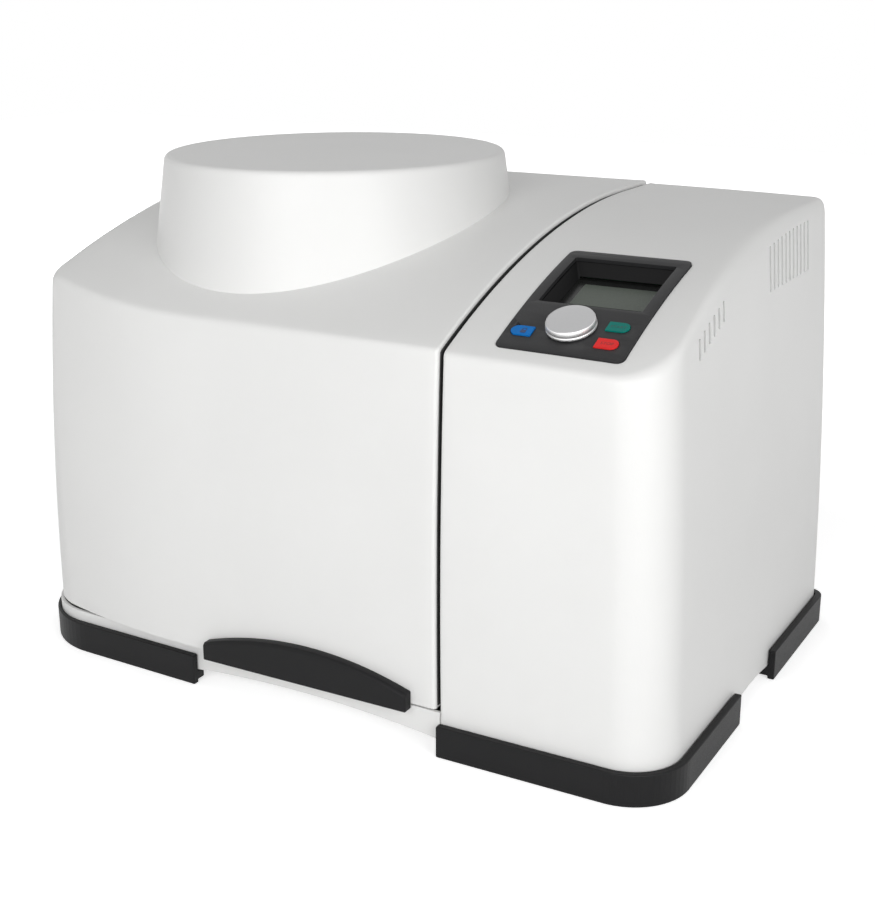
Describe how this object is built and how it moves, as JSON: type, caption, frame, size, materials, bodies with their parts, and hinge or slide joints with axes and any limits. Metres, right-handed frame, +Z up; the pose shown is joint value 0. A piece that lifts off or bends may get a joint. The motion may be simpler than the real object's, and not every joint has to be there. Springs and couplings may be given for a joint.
{
  "type": "planetary_ball_mill",
  "caption": "Bench planetary ball mill with a white casing, a round dome on the hinged hood, a control tower at the right with knob and keys, and the sun wheel, jar and drive inside.",
  "frame": {"origin": "bottom centre of the bounding box at rest, on the table", "axes": "X to the right seen from the front, Y to the back, Z up; metres"},
  "size_m": [0.63, 0.4206, 0.4345],
  "materials": {
    "white_paint": "fine pebbled warm white powder coat",
    "black_plastic": "satin black moulding",
    "black_rubber": "matt black rubber",
    "bright_steel": "plain machined and sheet steel",
    "cast_metal": "painted casting",
    "machined_aluminium": "turned and brushed aluminium",
    "dark_plastic": "dark grey moulding",
    "grey_glass": "unlit grey display glass",
    "green_board": "printed circuit board",
    "teal_plastic": "glossy teal key",
    "red_plastic": "glossy red key",
    "blue_plastic": "glossy blue key",
    "green_switch": "green rocker",
    "liner_foam": "grey sound liner"
  },
  "bodies": {
    "base": {"base_tray": "white_paint", "base_plate": "bright_steel", "foot_front_right": "black_plastic", "foot_rear_right": "black_plastic", "foot_rear_left": "black_plastic", "foot_front_left": "black_plastic", "foot_pads": "black_rubber", "tower_shell": "white_paint", "rear_cover": "white_paint", "rear_panel": "bright_steel", "chamber_tub": "bright_steel", "chamber_seal": "black_rubber", "drive_frame": "bright_steel", "bearing_housing": "cast_metal", "main_bearings": "bright_steel", "fixed_pulley": "machined_aluminium", "drive_motor": "cast_metal", "drive_belt": "black_rubber", "inverter_box": "dark_plastic", "hinge_brackets": "bright_steel", "hinge_pins": "bright_steel", "latch_housing": "dark_plastic", "control_panel": "dark_plastic", "display_bezel": "dark_plastic", "display_glass": "grey_glass", "control_board": "green_board", "encoder": "machined_aluminium", "fan_frame": "black_plastic", "power_entry": "black_plastic", "housing_screws": "bright_steel"},
    "hood": {"hood_shell": "white_paint", "hood_liner": "liner_foam", "hood_handle": "black_plastic", "hinge_leaves": "bright_steel", "lock_striker": "bright_steel"},
    "sun": {"sun_shaft": "bright_steel", "sun_pulley": "machined_aluminium", "sun_wheel": "machined_aluminium", "planet_bearings": "bright_steel", "planet_belt": "black_rubber"},
    "planet": {"jar_holder": "machined_aluminium", "planet_pulley": "machined_aluminium"},
    "weight": {"balance_weight": "cast_metal"},
    "bridge": {"clamp_bridge": "bright_steel"},
    "presser": {"clamp_foot": "bright_steel"},
    "hand_wheel": {"clamp_hand_wheel": "black_plastic"},
    "jar": {"grinding_jar": "bright_steel", "grinding_balls": "bright_steel"},
    "lid": {"jar_lid": "bright_steel", "jar_seal": "black_rubber"},
    "motor_rotor": {"motor_pulley": "machined_aluminium"},
    "knob": {"control_knob": "machined_aluminium"},
    "start_key": {"start_button": "teal_plastic"},
    "stop_key": {"stop_button": "red_plastic"},
    "open_key": {"open_button": "blue_plastic"},
    "fan": {"fan_rotor": "black_plastic"},
    "rocker": {"power_switch": "green_switch"},
    "fuse": {"fuse_drawer": "black_plastic"},
    "bolt": {"latch_bolt": "bright_steel"}
  },
  "joints": [
    {"name": "hood_open", "type": "hinge", "parent": "base", "child": "hood", "pos_m": [0, 0.2058, 0.37075], "axis": [-1, 0, 0], "range_deg": [0, 75]},
    {"name": "sun_spin", "type": "hinge", "parent": "base", "child": "sun", "pos_m": [-0.092, 0.005, 0.13], "axis": [0, 0, 1], "continuous": true},
    {"name": "planet_spin", "type": "hinge", "parent": "sun", "child": "planet", "pos_m": [-0.0215, 0.005, 0.15], "axis": [0, 0, 1], "continuous": true},
    {"name": "motor_spin", "type": "hinge", "parent": "base", "child": "motor_rotor", "pos_m": [0.215, 0.02, 0.06], "axis": [0, 0, 1], "continuous": true},
    {"name": "weight_slide", "type": "slide", "parent": "sun", "child": "weight", "axis": [1, 0, 0], "range_m": [-0.006, 0.008]},
    {"name": "bridge_lift", "type": "slide", "parent": "planet", "child": "bridge", "axis": [0, 0, 1], "range_m": [0, 0.095]},
    {"name": "jar_lift", "type": "slide", "parent": "planet", "child": "jar", "axis": [0, 0, 1], "range_m": [0, 0.057]},
    {"name": "lid_lift", "type": "slide", "parent": "jar", "child": "lid", "axis": [0, 0, 1], "range_m": [0, 0.019]},
    {"name": "clamp_release", "type": "slide", "parent": "bridge", "child": "presser", "axis": [0, 0, 1], "range_m": [0, 0.008]},
    {"name": "hand_wheel_turn", "type": "hinge", "parent": "presser", "child": "hand_wheel", "pos_m": [-0.0215, 0.005, 0.29], "axis": [0, 0, 1], "range_deg": [0, 1440]},
    {"name": "latch_slide", "type": "slide", "parent": "base", "child": "bolt", "axis": [-1, 0, 0], "range_m": [0, 0.012]},
    {"name": "knob_turn", "type": "hinge", "parent": "base", "child": "knob", "pos_m": [0.2075, -0.15477, 0.34024], "axis": [0, -0.3884, 0.9215], "continuous": true},
    {"name": "start_press", "type": "slide", "parent": "base", "child": "start_key", "axis": [0, 0.3802, -0.9249], "range_m": [0, 0.0008], "stiffness_N_per_m": 600},
    {"name": "stop_press", "type": "slide", "parent": "base", "child": "stop_key", "axis": [0, 0.4061, -0.9138], "range_m": [0, 0.0008], "stiffness_N_per_m": 600},
    {"name": "open_press", "type": "slide", "parent": "base", "child": "open_key", "axis": [0, 0.4017, -0.9158], "range_m": [0, 0.0008], "stiffness_N_per_m": 600},
    {"name": "fan_spin", "type": "hinge", "parent": "base", "child": "fan", "pos_m": [0.2, 0.18, 0.306], "axis": [0, 1, 0], "continuous": true},
    {"name": "switch_rock", "type": "hinge", "parent": "base", "child": "rocker", "pos_m": [0.188, 0.1965, 0.138], "axis": [1, 0, 0], "range_deg": [0, 16]},
    {"name": "fuse_pull", "type": "slide", "parent": "base", "child": "fuse", "axis": [0, 1, 0], "range_m": [0, 0.015]}
  ],
  "couplings": [
    {"joint": "planet_spin", "follows": "sun_spin", "ratio": -2},
    {"joint": "motor_spin", "follows": "sun_spin", "ratio": 2},
    {"joint": "jar_lift", "follows": "bridge_lift", "ratio": 0.6},
    {"joint": "lid_lift", "follows": "bridge_lift", "ratio": 0.2},
    {"joint": "hand_wheel_turn", "follows": "clamp_release", "rad_per_m": 3141.6}
  ]
}
